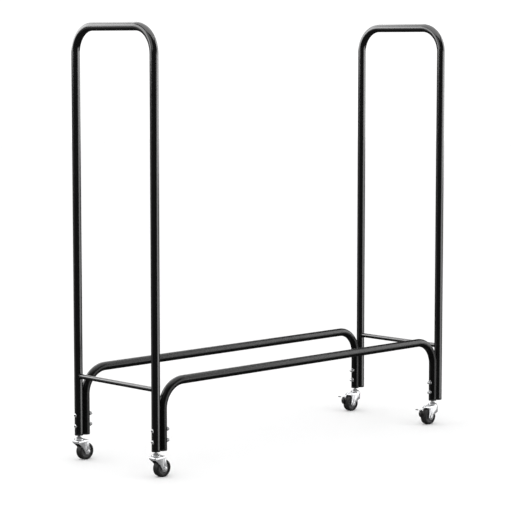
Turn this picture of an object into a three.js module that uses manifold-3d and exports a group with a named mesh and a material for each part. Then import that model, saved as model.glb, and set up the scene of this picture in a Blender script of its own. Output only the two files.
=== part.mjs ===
// A fireside log cart: two tall tube hoops joined by two bent floor rails, on four swivel casters.
// Millimetres. +Z is up, +X runs along the cart, +Y runs from its front to its back, and the origin
// is on the floor under the middle of the cart.

import * as THREE from "three";
import { mergeVertices } from "three/addons/utils/BufferGeometryUtils.js";
import Module from "manifold-3d";

const wasm = await Module();
wasm.setup();

// ---------------------------------------------------------------- driving dimensions

// Clearances
const FIT_GAP = 0.3;
const RUNNING_GAP = 0.4;

// Tubes of the hoops and the rails
const TUBE_DIAMETER = 25;
const TUBE_WALL = 1.2;
const BEND_RADIUS = 76;

// Frame, between the centrelines of its tubes and up from the ends of its legs
const HOOP_SPACING = 1212;
const HOOP_WIDTH = 340;
const HOOP_RISE = 1190.5;
const RAIL_RISE = 194;
const CROSSBAR_RISE = 175.5;
const CROSSBAR_DIAMETER = 14;

// Bolts that clamp each rail leg to its hoop leg
const BOLT_ABOVE_PLUG = 7;
const BOLT_PITCH = 32;
const BOLT_DIAMETER = 6;
const BOLT_HEAD_DIAMETER = 10.5;
const BOLT_HEAD_HEIGHT = 3.3;
const HEAD_LAND = 0.8;
const SOCKET_ACROSS_FLATS = 4;
const SOCKET_DEPTH = 2;
const WASHER_DIAMETER = 12;
const WASHER_THICKNESS = 1.2;
const CAP_NUT_ACROSS_FLATS = 10;
const CAP_NUT_HEX_HEIGHT = 5.5;
const CAP_NUT_HEIGHT = 12;
const CAP_NUT_DOME_DIAMETER = 9;
const BOLT_GRIP_IN_NUT = 7;
const BOLT_END_CLEARANCE = 1;

// Plugs in the ends of the legs
const PLUG_FLANGE = 5;
const PLUG_DEPTH = 16;
const PLUG_CHAMFER = 0.8;

// Caster stem, its nut and the swivel head
const STEM_DIAMETER = 8;
const STEM_END_BELOW_PLUG_TOP = 3;
const STEM_SHOWING = 4.9;
const STEM_CHAMFER = 1;
const STEM_HEAD_DIAMETER = 13;
const STEM_HEAD_THICKNESS = 2;
const STEM_NUT_ACROSS_FLATS = 13;
const STEM_NUT_HEIGHT = 3;
const CUP_DIAMETER = 28;
const CUP_TOP_DIAMETER = 13.5;
const CUP_SHOULDER_INSET = 2;
const CUP_HEIGHT = 4.3;
const CUP_SHEET = 1.2;

// Yoke
const YOKE_SHEET = 1.8;
const YOKE_FRONT = 15.5;
const YOKE_REAR_PAST_AXLE = 4.5;
const YOKE_APRON = 8;
const YOKE_FRONT_BEND = 3;
const YOKE_EDGE_BULGE = 1.8;
const YOKE_CORNER_RADIUS = 4.5;
const BRAKED_YOKE_APRON = 21;
const BRAKED_YOKE_CORNER_RADIUS = 10;
const YOKE_LEG_END_RADIUS = 9.6;
const YOKE_TRAILING_NECK = 1;
const RACE_HEIGHT = 1.8;
const RACE_EDGE = 0.5;
const RACE_SLOPE = 2;

// Wheel
const WHEEL_DIAMETER = 50;
const WHEEL_WIDTH = 22;
const WHEEL_TRAIL = 21.5;
const WHEEL_TOP_CLEARANCE = 7.6;
const WHEEL_SIDE_CLEARANCE = 1.2;
const TYRE_THICKNESS = 6.5;
const TYRE_SHOULDER = 3;
const HUB_RIM_INSET = 2.5;
const HUB_RIM_THICKNESS = 2.4;
const HUB_WEB_WIDTH = 9;
const HUB_BOSS_DIAMETER = 14;

// Axle
const AXLE_DIAMETER = 6;
const AXLE_HEAD_DIAMETER = 10;
const AXLE_HEAD_HEIGHT = 3;
const AXLE_NUT_ACROSS_FLATS = 9.5;
const AXLE_NUT_HEIGHT = 4;
const AXLE_END_SHOWING = 1.2;

// Brake of the casters on the right
const BRAKE_PIVOT_PAST_PLATE = 2.5;
const BRAKE_PIN_DIAMETER = 3;
const BRAKE_PIN_HEAD_DIAMETER = 5;
const BRAKE_PIN_HEAD_THICKNESS = 1;
const BRAKE_EAR_DIAMETER = 8.4;
const BRAKE_BARREL_DIAMETER = 5.6;
const LEVER_SHEET = 1.5;
const LEVER_KNEE_ANGLE = 38;
const LEVER_TIP_REACH = 19.5;
const LEVER_TIP_RISE = 3.8;
const LEVER_WIDTH = 6;
const LEVER_SIDE_CLEARANCE = 2.7;
const SLEEVE_LENGTH = 6;
const SLEEVE_WALL = 0.9;
const SHOE_WIDTH = 6.6;
const SHOE_THICKNESS = 2.4;
const SHOE_FOOT_GAP = 1.2;
const SHOE_STAND_OFF = 9.5;
const SHOE_FLARE_ANGLE = 25;
const SHOE_BELOW_KNEE_ANGLE = 3;

// Facets of the round shapes
const TUBE_SIDES = 16;
const BEND_STEPS = 6;
const ROD_SIDES = 12;
const FASTENER_SIDES = 8;
const WHEEL_SIDES = 20;
const HEX_SIDES = 6;
const ARC_STEPS = 2;
const DOME_STEPS = 3;
const SWEEP_STEPS = 4;
const LEG_END_STEPS = 6;

// Finishes
const BLACK_PAINT = { color: 0x17181a, roughness: 0.22, metalness: 0.1 };
const BLACK_PLASTIC = { color: 0x121212, roughness: 0.5, metalness: 0 };
const DARK_RUBBER = { color: 0x232425, roughness: 0.7, metalness: 0 };
const GREY_PLASTIC = { color: 0x2a2b2d, roughness: 0.55, metalness: 0 };
const BRIGHT_ZINC = { color: 0xd8dadc, roughness: 0.25, metalness: 1 };

// ---------------------------------------------------------------- sizes that follow from them

const TUBE_RADIUS = TUBE_DIAMETER / 2;
const BORE_RADIUS = TUBE_RADIUS - TUBE_WALL;
const LEG_PITCH = TUBE_DIAMETER + FIT_GAP;
const RAIL_SPAN = HOOP_SPACING - 2 * LEG_PITCH;

// Heights above the floor, from the wheels up to the ends of the legs
const WHEEL_RADIUS = WHEEL_DIAMETER / 2;
const AXLE_HEIGHT = WHEEL_RADIUS;
const PLATE_UNDERSIDE = WHEEL_DIAMETER + WHEEL_TOP_CLEARANCE;
const PLATE_TOP = PLATE_UNDERSIDE + YOKE_SHEET;
const RACE_TOP = PLATE_TOP + RACE_HEIGHT;
const CUP_BOTTOM = RACE_TOP + FIT_GAP;
const CUP_TOP = CUP_BOTTOM + CUP_HEIGHT;
const STEM_NUT_BOTTOM = CUP_TOP + FIT_GAP;
const STEM_NUT_TOP = STEM_NUT_BOTTOM + STEM_NUT_HEIGHT;
const LEG_END = STEM_NUT_TOP + STEM_SHOWING;
const TUBE_END = LEG_END + PLUG_FLANGE + FIT_GAP;
const PLUG_TOP = LEG_END + PLUG_FLANGE + PLUG_DEPTH;

// Across the caster
const YOKE_INNER_HALF = WHEEL_WIDTH / 2 + WHEEL_SIDE_CLEARANCE;
const YOKE_OUTER_HALF = YOKE_INNER_HALF + YOKE_SHEET;
const PLATE_REAR = WHEEL_TRAIL + YOKE_REAR_PAST_AXLE;

// The brake's pivot lies behind the plate, half way up from the tread to the plate's underside
const BRAKE_PIVOT_X = PLATE_REAR + BRAKE_PIVOT_PAST_PLATE;
const BRAKE_PIVOT_Z = (WHEEL_DIAMETER + PLATE_UNDERSIDE) / 2;

// ---------------------------------------------------------------- making solids

const degrees = (angle) => (angle * Math.PI) / 180;
const WELD_TOLERANCE = 1e-4;

// The closed solid inside a closed geometry, its shared corners merged and collapsed faces dropped
function solidOf(geometry) {
  const bare = geometry.clone();
  bare.deleteAttribute("normal");
  bare.deleteAttribute("uv");
  const welded = mergeVertices(bare, WELD_TOLERANCE);
  const corners = welded.index.array;
  const kept = [];
  for (let i = 0; i < corners.length; i += 3) {
    const [a, b, c] = corners.slice(i, i + 3);
    if (a !== b && b !== c && c !== a) kept.push(a, b, c);
  }
  return new wasm.Manifold(
    new wasm.Mesh({
      numProp: 3,
      vertProperties: welded.attributes.position.array,
      triVerts: Uint32Array.from(kept),
    }),
  );
}

// A named mesh of a solid, with a material of its own
function pieceOf(name, solid, finish) {
  const { vertProperties, triVerts } = solid.getMesh();
  const geometry = new THREE.BufferGeometry();
  geometry.setAttribute("position", new THREE.BufferAttribute(vertProperties, 3));
  geometry.setIndex(new THREE.BufferAttribute(triVerts, 1));
  geometry.computeVertexNormals();
  const mesh = new THREE.Mesh(geometry, new THREE.MeshStandardMaterial(finish));
  mesh.name = name;
  return mesh;
}

// The corners of a regular outline, its first corner on +X
function roundOutline(radius, sides) {
  const corner = (i) => (i * 2 * Math.PI) / sides;
  return Array.from(
    { length: sides },
    (_, i) => new THREE.Vector2(radius * Math.cos(corner(i)), radius * Math.sin(corner(i))),
  );
}

// Points along an arc about a centre, from one angle to another
function arcPoints(x, y, radius, from, to, steps = ARC_STEPS) {
  return Array.from({ length: steps + 1 }, (_, i) => {
    const angle = degrees(THREE.MathUtils.lerp(from, to, i / steps));
    return [x + radius * Math.cos(angle), y + radius * Math.sin(angle)];
  });
}

// A profile of [radius, height] points turned about the Z axis. It runs up the outside.
function turnedAboutZ(profile, sides) {
  const points = profile.map(([radius, height]) => new THREE.Vector2(radius, height));
  if (profile[0][0] > 0) points.push(points[0].clone());
  return solidOf(new THREE.LatheGeometry(points, sides).rotateX(Math.PI / 2));
}

// The same profile turned about the Y axis, with a flat facet on each side of the axis
function turnedAboutY(profile, sides) {
  const points = profile.map(([radius, width]) => new THREE.Vector2(radius, width));
  if (profile[0][0] > 0) points.push(points[0].clone());
  return solidOf(new THREE.LatheGeometry(points, sides, Math.PI / sides));
}

// An outline of [x, z] points, drawn from the side and given a width across Y
function sideShape(outline, width) {
  const shape = new THREE.Shape(outline.map(([x, z]) => new THREE.Vector2(x, z)));
  const block = new THREE.ExtrudeGeometry(shape, { depth: width, bevelEnabled: false });
  return solidOf(block.translate(0, 0, -width / 2).rotateX(Math.PI / 2));
}

// An outline of [x, y] points, drawn from above and raised between two heights
function planShape(outline, bottom, top) {
  const shape = new THREE.Shape(outline.map(([x, y]) => new THREE.Vector2(x, y)));
  const block = new THREE.ExtrudeGeometry(shape, { depth: top - bottom, bevelEnabled: false });
  return solidOf(block.translate(0, 0, bottom));
}

// Round rods along each axis, centred on a point
function rodAlongX(radius, length, sides, x, y, z) {
  const rod = new THREE.CylinderGeometry(radius, radius, length, sides).rotateZ(Math.PI / 2);
  return solidOf(rod.translate(x, y, z));
}

function rodAlongY(radius, length, sides, x, y, z) {
  return solidOf(new THREE.CylinderGeometry(radius, radius, length, sides).translate(x, y, z));
}

function rodAlongZ(radius, length, sides, x, y, z) {
  const rod = new THREE.CylinderGeometry(radius, radius, length, sides).rotateX(Math.PI / 2);
  return solidOf(rod.translate(x, y, z));
}

// A hexagonal prism standing on the XY plane
const hexCornerRadius = (acrossFlats) => acrossFlats / 2 / Math.cos(Math.PI / HEX_SIDES);

function hexPrism(acrossFlats, height) {
  const outline = roundOutline(hexCornerRadius(acrossFlats), HEX_SIDES).map(({ x, y }) => [x, y]);
  return planShape(outline, 0, height);
}

// The edge of a dome, from its rim up and over a shoulder to its flat top
function domeEdge(rim, shoulder, flat, bottom, top) {
  const edge = new THREE.QuadraticBezierCurve(
    new THREE.Vector2(rim, bottom),
    new THREE.Vector2(shoulder, top),
    new THREE.Vector2(flat, top),
  );
  return edge.getPoints(DOME_STEPS).map(({ x, y }) => [x, y]);
}

// ---------------------------------------------------------------- tubes

// A route with a station only where the tube bends or ends
class TubeRoute extends THREE.Curve {
  constructor(stations) {
    super();
    this.stations = stations;
  }

  getSpacedPoints() {
    return this.stations.map(({ point }) => point);
  }

  getTangentAt(u, target = new THREE.Vector3()) {
    const index = Math.round(u * (this.stations.length - 1));
    return target.copy(this.stations[index].tangent);
  }
}

const station = (x, z, along, up) => ({
  point: new THREE.Vector3(x, 0, z),
  tangent: new THREE.Vector3(along, 0, up),
});

// Up one leg, round a bend, along the top, round the other bend and down, in the XZ plane
function archRoute(span, bottom, top) {
  const stations = [station(-span / 2, bottom, 0, 1)];
  const centre = span / 2 - BEND_RADIUS;
  for (let i = 0; i <= BEND_STEPS; i += 1) {
    const angle = (i / BEND_STEPS) * (Math.PI / 2);
    const x = -centre - BEND_RADIUS * Math.cos(angle);
    const z = top - BEND_RADIUS + BEND_RADIUS * Math.sin(angle);
    stations.push(station(x, z, Math.sin(angle), Math.cos(angle)));
  }
  for (let i = 0; i <= BEND_STEPS; i += 1) {
    const angle = (i / BEND_STEPS) * (Math.PI / 2);
    const x = centre + BEND_RADIUS * Math.sin(angle);
    const z = top - BEND_RADIUS + BEND_RADIUS * Math.cos(angle);
    stations.push(station(x, z, Math.cos(angle), -Math.sin(angle)));
  }
  stations.push(station(span / 2, bottom, 0, -1));
  return new TubeRoute(stations);
}

function bentTube(span, top) {
  const route = archRoute(span, TUBE_END, top);
  const section = new THREE.Shape(roundOutline(TUBE_RADIUS, TUBE_SIDES));
  section.holes.push(new THREE.Path(roundOutline(BORE_RADIUS, TUBE_SIDES)));
  const steps = route.stations.length - 1;
  return solidOf(new THREE.ExtrudeGeometry(section, { extrudePath: route, steps }));
}

const BOLT_HOLE_RADIUS = BOLT_DIAMETER / 2 + FIT_GAP;
const BOLTS = [
  { name: "lower", height: PLUG_TOP + BOLT_ABOVE_PLUG },
  { name: "upper", height: PLUG_TOP + BOLT_ABOVE_PLUG + BOLT_PITCH },
];

// A hoop, drawn across X. The bolts pass through its legs along Y.
function hoopSolid() {
  let hoop = bentTube(HOOP_WIDTH, LEG_END + HOOP_RISE);
  for (const side of [-1, 1]) {
    for (const { height } of BOLTS) {
      const centre = [(side * HOOP_WIDTH) / 2, 0, height];
      const hole = rodAlongY(BOLT_HOLE_RADIUS, 2 * TUBE_DIAMETER, FASTENER_SIDES, ...centre);
      hoop = hoop.subtract(hole);
    }
  }
  return hoop;
}

// A rail, drawn along X. The bolts pass through its legs along X.
function railSolid() {
  let rail = bentTube(RAIL_SPAN, LEG_END + RAIL_RISE);
  for (const { height } of BOLTS) {
    const length = RAIL_SPAN + 2 * TUBE_DIAMETER;
    const hole = rodAlongX(BOLT_HOLE_RADIUS, length, FASTENER_SIDES, 0, 0, height);
    rail = rail.subtract(hole);
  }
  return rail;
}

// The round bar between the legs of a hoop, along Y, its ends hollowed to fit the tubes
function crossbarSolid() {
  const height = LEG_END + CROSSBAR_RISE;
  let bar = rodAlongY(CROSSBAR_DIAMETER / 2, HOOP_WIDTH, ROD_SIDES, 0, 0, height);
  for (const side of [-1, 1]) {
    const centre = [0, (side * HOOP_WIDTH) / 2, height];
    const seat = rodAlongZ(TUBE_RADIUS + FIT_GAP, TUBE_DIAMETER, TUBE_SIDES, ...centre);
    bar = bar.subtract(seat);
  }
  return bar;
}

// ---------------------------------------------------------------- leg ends and leg bolts

// A plug of the leg's own diameter below the tube and of its bore inside it. A plug that takes
// a caster stem has a hole through it.
function plugSolid(holeRadius) {
  const barrel = BORE_RADIUS - FIT_GAP;
  const shoulder = LEG_END + PLUG_FLANGE;
  return turnedAboutZ(
    [
      [holeRadius, LEG_END],
      [TUBE_RADIUS - PLUG_CHAMFER, LEG_END],
      [TUBE_RADIUS, LEG_END + PLUG_CHAMFER],
      [TUBE_RADIUS, shoulder],
      [barrel, shoulder],
      [barrel, PLUG_TOP],
      [holeRadius, PLUG_TOP],
    ],
    TUBE_SIDES,
  );
}

// A button head over the XY plane with a hexagonal socket in it, and a shank below
function buttonBolt(headDiameter, headHeight, shankDiameter, shankLength) {
  const head = headDiameter / 2;
  const shank = shankDiameter / 2;
  const flat = hexCornerRadius(SOCKET_ACROSS_FLATS) + HEAD_LAND;
  const bolt = turnedAboutZ(
    [
      [0, -shankLength],
      [shank, -shankLength],
      [shank, 0],
      ...domeEdge(head, head, flat, 0, headHeight),
      [0, headHeight],
    ],
    FASTENER_SIDES,
  );
  const socket = hexPrism(SOCKET_ACROSS_FLATS, 2 * SOCKET_DEPTH);
  return bolt.subtract(socket.translate([0, 0, headHeight - SOCKET_DEPTH]));
}

// A domed nut and its washer, standing on the XY plane with a blind hole in the foot
function capNut() {
  const middle = [0, 0, WASHER_THICKNESS / 2];
  const washer = rodAlongZ(WASHER_DIAMETER / 2, WASHER_THICKNESS, ROD_SIDES, ...middle);
  const dome = CAP_NUT_DOME_DIAMETER / 2;
  const domeBase = WASHER_THICKNESS + CAP_NUT_HEIGHT - dome;
  const crown = turnedAboutZ([[0, 0], ...arcPoints(0, domeBase, dome, 0, 90)], FASTENER_SIDES);
  const depth = 2 * (BOLT_GRIP_IN_NUT + BOLT_END_CLEARANCE);
  const bore = rodAlongZ(BOLT_HOLE_RADIUS, depth, FASTENER_SIDES, 0, 0, 0);
  return hexPrism(CAP_NUT_ACROSS_FLATS, WASHER_THICKNESS + CAP_NUT_HEX_HEIGHT)
    .add(washer)
    .add(crown)
    .subtract(bore);
}

// Where the fasteners lie along X: the hoop's outer face and the rail leg's inner face
const BOLT_HEAD_SEAT = HOOP_SPACING / 2 + TUBE_RADIUS + FIT_GAP;
const CAP_NUT_SEAT = RAIL_SPAN / 2 - TUBE_RADIUS - FIT_GAP;
const BOLT_LENGTH = BOLT_HEAD_SEAT - CAP_NUT_SEAT + BOLT_GRIP_IN_NUT;

// ---------------------------------------------------------------- casters
// Each is drawn with its stem on the Z axis and its wheel trailing toward +X. Those on the right are
// turned round, so that all four trail toward the middle of the cart.

const STEM_HOLE_RADIUS = STEM_DIAMETER / 2 + FIT_GAP;

// The kingpin with its nut: screwed into the plug above, spread into a head under the yoke's plate
function stemSolid() {
  const shank = STEM_DIAMETER / 2;
  const head = STEM_HEAD_DIAMETER / 2;
  const headTop = PLATE_UNDERSIDE - FIT_GAP;
  const headBottom = headTop - STEM_HEAD_THICKNESS;
  const top = PLUG_TOP - STEM_END_BELOW_PLUG_TOP;
  const pin = turnedAboutZ(
    [
      [0, headBottom],
      [head - STEM_CHAMFER, headBottom],
      [head, headBottom + STEM_CHAMFER],
      [head, headTop],
      [shank, headTop],
      [shank, top - STEM_CHAMFER],
      [shank - STEM_CHAMFER, top],
      [0, top],
    ],
    ROD_SIDES,
  );
  const nut = hexPrism(STEM_NUT_ACROSS_FLATS, STEM_NUT_HEIGHT);
  return pin.add(nut.translate([0, 0, STEM_NUT_BOTTOM]));
}

// The fixed upper race of the swivel, a pressed dome round the stem
function swivelCupSolid() {
  const rim = CUP_DIAMETER / 2;
  const shoulder = rim - CUP_SHOULDER_INSET;
  const flat = CUP_TOP_DIAMETER / 2;
  const outside = domeEdge(rim, shoulder, flat, CUP_BOTTOM, CUP_TOP);
  const inside = domeEdge(
    rim - CUP_SHEET,
    shoulder - CUP_SHEET,
    flat,
    CUP_BOTTOM,
    CUP_TOP - CUP_SHEET,
  );
  const hole = [
    [STEM_HOLE_RADIUS, CUP_TOP],
    [STEM_HOLE_RADIUS, CUP_TOP - CUP_SHEET],
  ];
  return turnedAboutZ([...outside, ...hole, ...inside.reverse()], ROD_SIDES);
}

// The yoke from the side: plate on top, apron in front, legs that reach down round the axle
function yokeSide(apron) {
  const bend = YOKE_FRONT_BEND;
  const apronEnd = PLATE_TOP - apron;
  const inFront = WHEEL_TRAIL - YOKE_LEG_END_RADIUS;
  const neck = PLATE_REAR - YOKE_TRAILING_NECK;
  return [
    [PLATE_REAR, PLATE_UNDERSIDE],
    [PLATE_REAR, PLATE_TOP],
    ...arcPoints(bend - YOKE_FRONT, PLATE_TOP - bend, bend, 90, 180),
    [-YOKE_FRONT, apronEnd],
    [YOKE_SHEET - YOKE_FRONT, apronEnd],
    [(inFront - YOKE_FRONT) / 2, (apronEnd + AXLE_HEIGHT) / 2 + YOKE_EDGE_BULGE],
    ...arcPoints(WHEEL_TRAIL, AXLE_HEIGHT, YOKE_LEG_END_RADIUS, 180, 360, LEG_END_STEPS),
    [neck, PLATE_UNDERSIDE - YOKE_SHEET],
    [neck, PLATE_UNDERSIDE],
  ];
}

// The yoke from above, its two front corners rounded, drawn in by an inset on the front and the sides
function yokePlan(rear, cornerRadius, inset) {
  const front = YOKE_FRONT - inset;
  const half = YOKE_OUTER_HALF - inset;
  const round = cornerRadius - inset;
  return [
    [rear, -half],
    [rear, half],
    ...arcPoints(round - front, half - round, round, 90, 180, SWEEP_STEPS),
    ...arcPoints(round - front, round - half, round, 180, 270, SWEEP_STEPS),
  ];
}

// The lower race of the swivel, pressed up from the plate, almost as wide as the plate
function raisedRace() {
  const foot = YOKE_OUTER_HALF - RACE_EDGE;
  return turnedAboutZ(
    [
      [0, PLATE_UNDERSIDE],
      [foot, PLATE_UNDERSIDE],
      [foot, PLATE_TOP],
      [foot - RACE_SLOPE, RACE_TOP],
      [0, RACE_TOP],
    ],
    ROD_SIDES,
  );
}

// A pressed yoke. The one with a brake has ears for the pin, a deeper apron and rounder corners.
function yokeSolid(hasBrake) {
  const width = 2 * YOKE_OUTER_HALF;
  const rear = PLATE_REAR + WHEEL_DIAMETER;
  const corner = hasBrake ? BRAKED_YOKE_CORNER_RADIUS : YOKE_CORNER_RADIUS;
  let yoke = sideShape(yokeSide(hasBrake ? BRAKED_YOKE_APRON : YOKE_APRON), width);
  if (hasBrake) {
    const pivot = [BRAKE_PIVOT_X, 0, BRAKE_PIVOT_Z];
    yoke = yoke.add(rodAlongY(BRAKE_EAR_DIAMETER / 2, width, ROD_SIDES, ...pivot));
    const pinHole = BRAKE_PIN_DIAMETER / 2 + RUNNING_GAP;
    yoke = yoke.subtract(rodAlongY(pinHole, 2 * width, FASTENER_SIDES, ...pivot));
  }
  const outline = planShape(yokePlan(rear, corner, 0), 0, PLATE_TOP);
  const inside = planShape(yokePlan(2 * rear, corner, YOKE_SHEET), -YOKE_SHEET, PLATE_UNDERSIDE);
  const axleHole = AXLE_DIAMETER / 2 + FIT_GAP;
  return yoke
    .intersect(outline)
    .add(raisedRace())
    .subtract(inside)
    .subtract(rodAlongZ(STEM_HOLE_RADIUS, LEG_END, ROD_SIDES, 0, 0, PLATE_TOP))
    .subtract(rodAlongY(axleHole, 2 * width, FASTENER_SIDES, WHEEL_TRAIL, 0, AXLE_HEIGHT));
}

// The tyre, turned about the axle. Its flats lie on the circle of the tread.
function tyreSolid() {
  const tread = WHEEL_RADIUS / Math.cos(Math.PI / WHEEL_SIDES);
  const bore = WHEEL_RADIUS - TYRE_THICKNESS;
  const half = WHEEL_WIDTH / 2;
  const round = TYRE_SHOULDER;
  const tyre = turnedAboutY(
    [
      [bore, -half],
      ...arcPoints(tread - round, round - half, round, 270, 360),
      ...arcPoints(tread - round, half - round, round, 0, 90),
      [bore, half],
    ],
    WHEEL_SIDES,
  );
  return tyre.translate([WHEEL_TRAIL, 0, AXLE_HEIGHT]);
}

// The hub: a rim under the tyre, a web and a boss that turns on the axle
function hubSolid() {
  const rim = (WHEEL_RADIUS - TYRE_THICKNESS) * Math.cos(Math.PI / WHEEL_SIDES) - FIT_GAP;
  const rimInside = rim - HUB_RIM_THICKNESS;
  const boss = HUB_BOSS_DIAMETER / 2;
  const bore = AXLE_DIAMETER / 2 + RUNNING_GAP;
  const bossHalf = YOKE_INNER_HALF - RUNNING_GAP;
  const webHalf = HUB_WEB_WIDTH / 2;
  const rimHalf = WHEEL_WIDTH / 2 - HUB_RIM_INSET;
  const hub = turnedAboutY(
    [
      [bore, -bossHalf],
      [boss, -bossHalf],
      [boss, -webHalf],
      [rimInside, -webHalf],
      [rimInside, -rimHalf],
      [rim, -rimHalf],
      [rim, rimHalf],
      [rimInside, rimHalf],
      [rimInside, webHalf],
      [boss, webHalf],
      [boss, bossHalf],
      [bore, bossHalf],
    ],
    ROD_SIDES,
  );
  return hub.translate([WHEEL_TRAIL, 0, AXLE_HEIGHT]);
}

const AXLE_SEAT = YOKE_OUTER_HALF + FIT_GAP;

// The axle: a bolt with its head on the +Y side of the yoke and its nut on the other
function axleSolid() {
  const length = 2 * AXLE_SEAT + AXLE_NUT_HEIGHT + AXLE_END_SHOWING;
  const bolt = buttonBolt(AXLE_HEAD_DIAMETER, AXLE_HEAD_HEIGHT, AXLE_DIAMETER, length);
  const nut = hexPrism(AXLE_NUT_ACROSS_FLATS, AXLE_NUT_HEIGHT);
  const nutSeat = -2 * AXLE_SEAT - AXLE_NUT_HEIGHT;
  return bolt
    .add(nut.translate([0, 0, nutSeat]))
    .rotate([-90, 0, 0])
    .translate([WHEEL_TRAIL, AXLE_SEAT, AXLE_HEIGHT]);
}

// ---------------------------------------------------------------- brake

// The lever and its shoe lie beside one leg of the yoke
const LEVER_MIDDLE = YOKE_INNER_HALF - LEVER_SIDE_CLEARANCE - LEVER_WIDTH / 2;
const besideMiddle = (solid) => solid.translate([0, -LEVER_MIDDLE, 0]);

// A point in the caster's side view, at a radius and an angle about the axle
function aboutAxle(radius, angle) {
  const turn = degrees(angle);
  return [WHEEL_TRAIL + radius * Math.cos(turn), AXLE_HEIGHT + radius * Math.sin(turn)];
}

// The lever bends over the outer face of the shoe and rises from there to its tip
const SHOE_OUTSIDE = WHEEL_RADIUS + SHOE_STAND_OFF + SHOE_THICKNESS;
const KNEE = aboutAxle(SHOE_OUTSIDE, LEVER_KNEE_ANGLE);
const TIP = [KNEE[0] + LEVER_TIP_REACH, KNEE[1] + LEVER_TIP_RISE];

// Height of the lever's mid-plane at a distance behind the stem
function leverHeight(x) {
  const [start, end] = x < KNEE[0] ? [[BRAKE_PIVOT_X, BRAKE_PIVOT_Z], KNEE] : [KNEE, TIP];
  return THREE.MathUtils.mapLinear(x, start[0], end[0], start[1], end[1]);
}

// The lever's strip from the side, between two distances, as thick as asked
function leverSide(from, to, thickness) {
  const bends = from < KNEE[0] ? [from, KNEE[0], to] : [from, to];
  const top = bends.map((x) => [x, leverHeight(x) + thickness / 2]);
  const bottom = bends.map((x) => [x, leverHeight(x) - thickness / 2]);
  return [...bottom, ...top.reverse()];
}

// The pin that the lever turns on, from ear to ear of the yoke and headed at both ends
function brakePin() {
  const shank = BRAKE_PIN_DIAMETER / 2;
  const head = BRAKE_PIN_HEAD_DIAMETER / 2;
  const seat = YOKE_OUTER_HALF + FIT_GAP;
  const end = seat + BRAKE_PIN_HEAD_THICKNESS;
  const pin = turnedAboutY(
    [
      [0, -end],
      [head, -end],
      [head, -seat],
      [shank, -seat],
      [shank, seat],
      [head, seat],
      [head, end],
      [0, end],
    ],
    FASTENER_SIDES,
  );
  return pin.translate([BRAKE_PIVOT_X, 0, BRAKE_PIVOT_Z]);
}

// The lever: a barrel between the ears and a bent strip that runs out beside the middle plane
function leverSolid() {
  const barrelLength = 2 * (YOKE_INNER_HALF - RUNNING_GAP);
  const pivot = [BRAKE_PIVOT_X, 0, BRAKE_PIVOT_Z];
  return besideMiddle(sideShape(leverSide(BRAKE_PIVOT_X, TIP[0], LEVER_SHEET), LEVER_WIDTH))
    .add(rodAlongY(BRAKE_BARREL_DIAMETER / 2, barrelLength, ROD_SIDES, ...pivot))
    .add(brakePin());
}

// The sleeve on the lever's tip, open toward the knee
function sleeveSolid() {
  const slotHeight = LEVER_SHEET + 2 * FIT_GAP;
  const slotWidth = LEVER_WIDTH + 2 * FIT_GAP;
  const slotEnd = TIP[0] + FIT_GAP;
  const end = slotEnd + SLEEVE_WALL;
  const start = end - SLEEVE_LENGTH;
  const slot = sideShape(leverSide(start - SLEEVE_WALL, slotEnd, slotHeight), slotWidth);
  const blockSide = leverSide(start, end, slotHeight + 2 * SLEEVE_WALL);
  return besideMiddle(sideShape(blockSide, slotWidth + 2 * SLEEVE_WALL).subtract(slot));
}

// The shoe from the side: a strap that leaves the tread at its foot and meets the lever's knee
function shoeSide() {
  const inner = [];
  const outer = [];
  for (let i = 0; i <= SWEEP_STEPS; i += 1) {
    const angle = (i / SWEEP_STEPS) * (LEVER_KNEE_ANGLE - SHOE_BELOW_KNEE_ANGLE);
    const flare = Math.sin((Math.PI / 2) * Math.min(1, angle / SHOE_FLARE_ANGLE));
    const radius = WHEEL_RADIUS + THREE.MathUtils.lerp(SHOE_FOOT_GAP, SHOE_STAND_OFF, flare);
    inner.push(aboutAxle(radius, angle));
    outer.push(aboutAxle(radius + SHOE_THICKNESS, angle));
  }
  const under = ([x]) => [x, leverHeight(x) - LEVER_SHEET / 2 - FIT_GAP];
  return [...outer, under(outer.at(-1)), under(inner.at(-1)), ...inner.reverse()];
}

function shoeSolid() {
  return besideMiddle(sideShape(shoeSide(), SHOE_WIDTH));
}

// ---------------------------------------------------------------- assembly

const cart = new THREE.Group();
cart.name = "fireside_log_cart";

// The two ends of the cart. The casters stand under the hoops on the left and under the rails'
// legs on the right, and trail inward.
const ENDS = [
  { name: "left", side: -1, casterUnder: "hoop", hasBrake: false },
  { name: "right", side: 1, casterUnder: "rail", hasBrake: true },
];
const FACES = [
  { name: "front", side: -1 },
  { name: "rear", side: 1 },
];

function place(mesh, x, y, turn = 0) {
  mesh.position.set(x, y, 0);
  mesh.rotation.z = turn;
  cart.add(mesh);
}

// Hoops and crossbars
for (const end of ENDS) {
  const x = (end.side * HOOP_SPACING) / 2;
  place(pieceOf(`${end.name}_hoop`, hoopSolid(), BLACK_PAINT), x, 0, Math.PI / 2);
  place(pieceOf(`${end.name}_crossbar`, crossbarSolid(), BLACK_PAINT), x, 0);
}

// Rails
for (const face of FACES) {
  place(pieceOf(`${face.name}_rail`, railSolid(), BLACK_PAINT), 0, (face.side * HOOP_WIDTH) / 2);
}

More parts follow.
